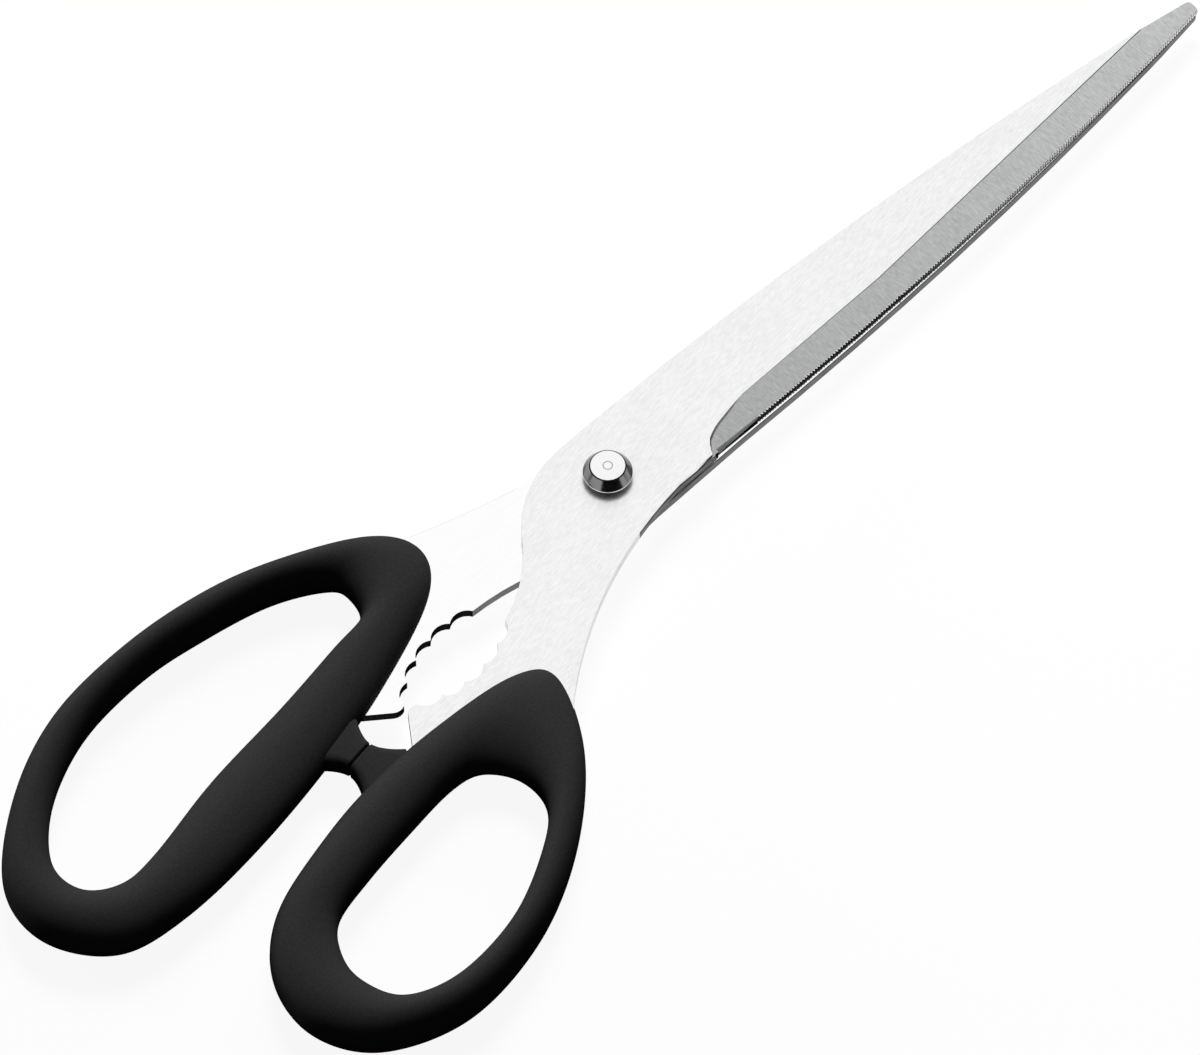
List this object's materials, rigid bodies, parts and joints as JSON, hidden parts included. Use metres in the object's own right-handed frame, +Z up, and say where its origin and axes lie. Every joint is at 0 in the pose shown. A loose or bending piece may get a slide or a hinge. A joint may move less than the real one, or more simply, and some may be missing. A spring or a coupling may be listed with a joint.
{
  "type": "kitchen scissors",
  "caption": "Kitchen scissors with ground steel blades, one of them micro-toothed, a scalloped jaw behind the screwed pivot, and soft-touch bows that close on stops.",
  "frame": {"origin": "under the middle of the closed scissors, on the table that the bows rest on", "axes": "+X runs along the blades towards the tip, +Y from the thumb bow towards the finger bow, +Z up, out of the front blade's outer face"},
  "size_m": [0.2178, 0.073, 0.0084],
  "materials": {
    "blade_steel": "finely brushed flats, ground bevels",
    "pivot_steel": "turned and polished",
    "spring_steel": "plain spring steel",
    "soft_touch": "matt soft-touch with a fine grain",
    "hard_core": "moulded"
  },
  "bodies": {
    "rear_half": {"rear_blade": "blade_steel", "finger_core": "hard_core", "finger_grip": "soft_touch", "pivot_barrel": "pivot_steel", "pivot_screw": "pivot_steel", "front_washer": "pivot_steel", "spring_washer": "spring_steel"},
    "front_half": {"front_blade": "blade_steel", "thumb_core": "hard_core", "thumb_grip": "soft_touch"}
  },
  "joints": [
    {"name": "blade_pivot", "type": "hinge", "parent": "rear_half", "child": "front_half", "pos_m": [-0.00503, 0.01104, 0.0042], "axis": [0, 0, 1], "range_deg": [0, 122]}
  ]
}
